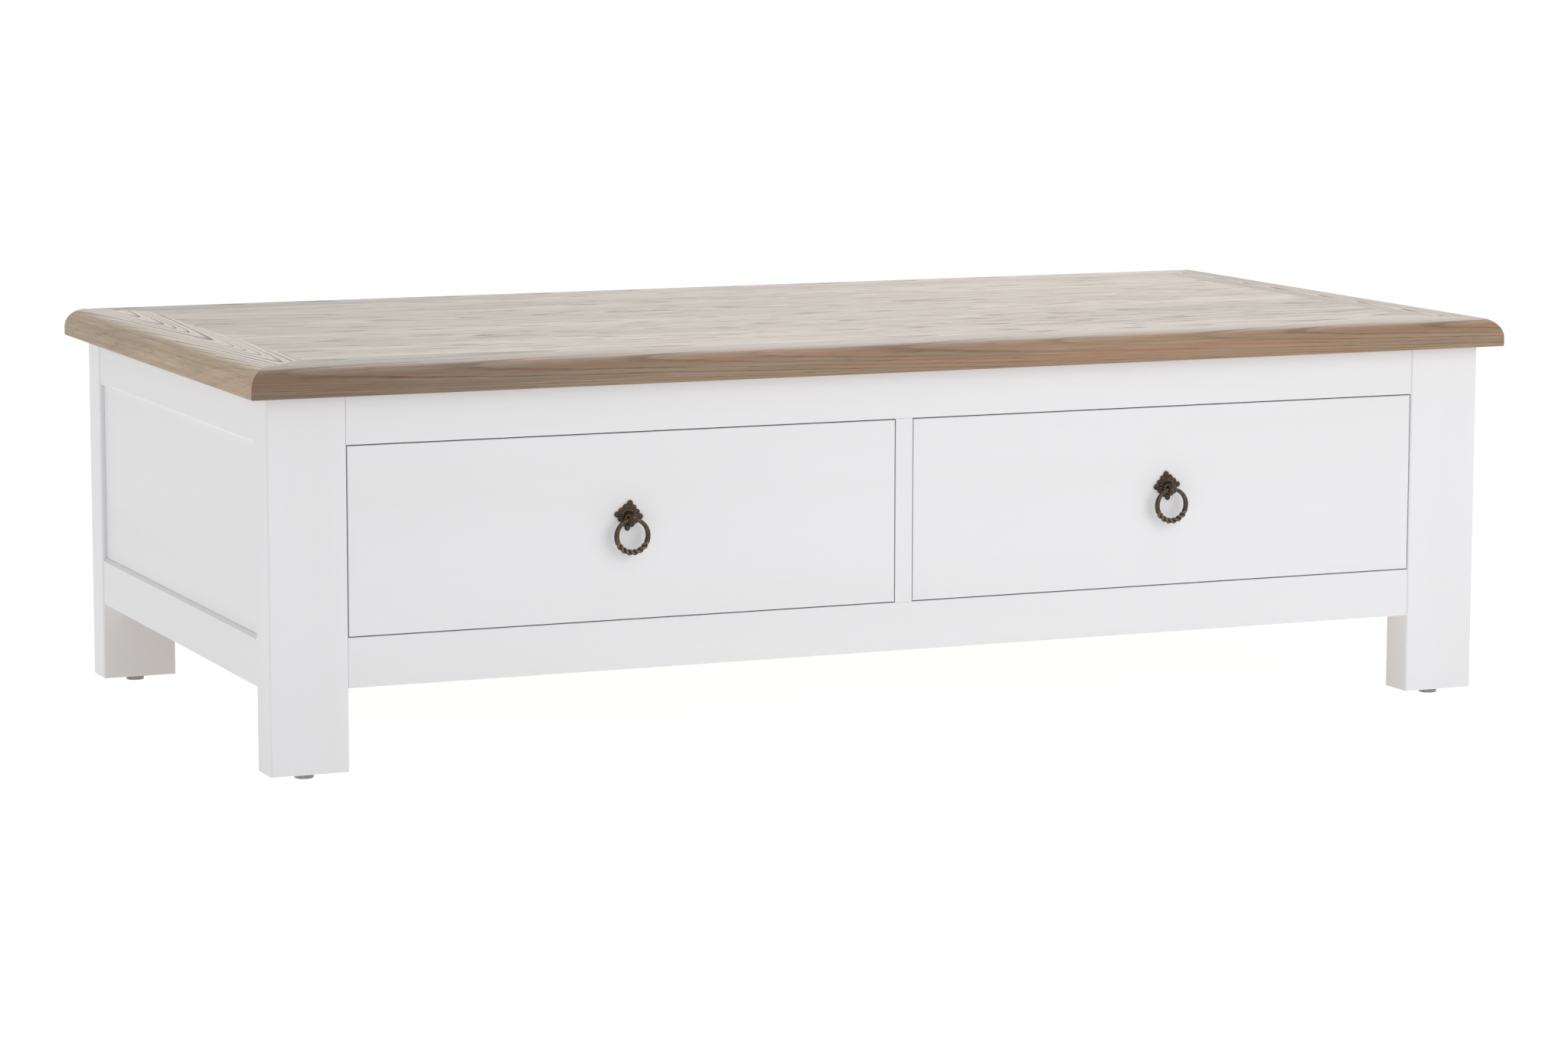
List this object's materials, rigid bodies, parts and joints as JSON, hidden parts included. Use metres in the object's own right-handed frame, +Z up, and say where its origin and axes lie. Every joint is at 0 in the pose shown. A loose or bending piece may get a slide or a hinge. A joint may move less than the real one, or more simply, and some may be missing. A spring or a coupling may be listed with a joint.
{
  "type": "coffee table with drawers",
  "caption": "Low rectangular coffee table with a rounded-edge oak top on a white painted frame-and-panel case; inset drawers slide out by hanging ring pulls.",
  "frame": {"origin": "on the floor under the middle of the table", "axes": "+X along the table, -Y out of the drawers' front, +Z up"},
  "size_m": [1.35, 0.68, 0.395],
  "materials": {
    "white_paint": "satin white paint",
    "oak_top": "brushed oak, greyed brown stain, satin lacquer",
    "drawer_box_wood": "clear lacquer",
    "drawer_bottom_ply": "thin plywood",
    "plain_hardwood": "planed, unfinished",
    "antique_bronze": "dark antique patina",
    "steel_screws": "zinc plated",
    "glide_plastic": "moulded"
  },
  "bodies": {
    "case": {"back_bottom_rail": "white_paint", "back_panel": "white_paint", "back_top_rail": "white_paint", "centre_partition": "white_paint", "corner_blocks": "plain_hardwood", "drawer_bearer_left": "plain_hardwood", "drawer_bearer_right": "plain_hardwood", "front_bottom_rail": "white_paint", "front_top_rail": "white_paint", "glide_back_left": "glide_plastic", "glide_back_right": "glide_plastic", "glide_front_left": "glide_plastic", "glide_front_right": "glide_plastic", "leg_back_left": "white_paint", "leg_back_right": "white_paint", "leg_front_left": "white_paint", "leg_front_right": "white_paint", "mitre_splines": "plain_hardwood", "runner_left_inner": "plain_hardwood", "runner_left_outer": "plain_hardwood", "runner_right_inner": "plain_hardwood", "runner_right_outer": "plain_hardwood", "runner_screws": "steel_screws", "side_bottom_rail_left": "white_paint", "side_bottom_rail_right": "white_paint", "side_panel_left": "white_paint", "side_panel_right": "white_paint", "side_top_rail_left": "white_paint", "side_top_rail_right": "white_paint", "top_border_back": "oak_top", "top_border_front": "oak_top", "top_border_left": "oak_top", "top_border_right": "oak_top", "top_fixing_blocks": "plain_hardwood", "top_fixing_screws": "steel_screws", "top_plank_1": "oak_top", "top_plank_2": "oak_top", "top_plank_3": "oak_top", "top_plank_4": "oak_top", "top_plank_5": "oak_top"},
    "drawer_left": {"drawer_left_back": "drawer_box_wood", "drawer_left_bottom": "drawer_bottom_ply", "drawer_left_front": "white_paint", "drawer_left_side_left": "drawer_box_wood", "drawer_left_side_right": "drawer_box_wood", "pull_left_eye": "antique_bronze", "pull_left_nut": "steel_screws", "pull_left_plate": "antique_bronze"},
    "drawer_right": {"drawer_right_back": "drawer_box_wood", "drawer_right_bottom": "drawer_bottom_ply", "drawer_right_front": "white_paint", "drawer_right_side_left": "drawer_box_wood", "drawer_right_side_right": "drawer_box_wood", "pull_right_eye": "antique_bronze", "pull_right_nut": "steel_screws", "pull_right_plate": "antique_bronze"},
    "ring_left": {"pull_left_ring": "antique_bronze"},
    "ring_right": {"pull_right_ring": "antique_bronze"}
  },
  "joints": [
    {"name": "drawer_left_slide", "type": "slide", "parent": "case", "child": "drawer_left", "axis": [0, -1, 0], "range_m": [0, 0.4]},
    {"name": "ring_left_swing", "type": "hinge", "parent": "drawer_left", "child": "ring_left", "pos_m": [-0.293, -0.3303, 0.23425], "axis": [-1, 0, 0], "range_deg": [-10, 90]},
    {"name": "drawer_right_slide", "type": "slide", "parent": "case", "child": "drawer_right", "axis": [0, -1, 0], "range_m": [0, 0.4]},
    {"name": "ring_right_swing", "type": "hinge", "parent": "drawer_right", "child": "ring_right", "pos_m": [0.293, -0.3303, 0.23425], "axis": [-1, 0, 0], "range_deg": [-10, 90]}
  ]
}
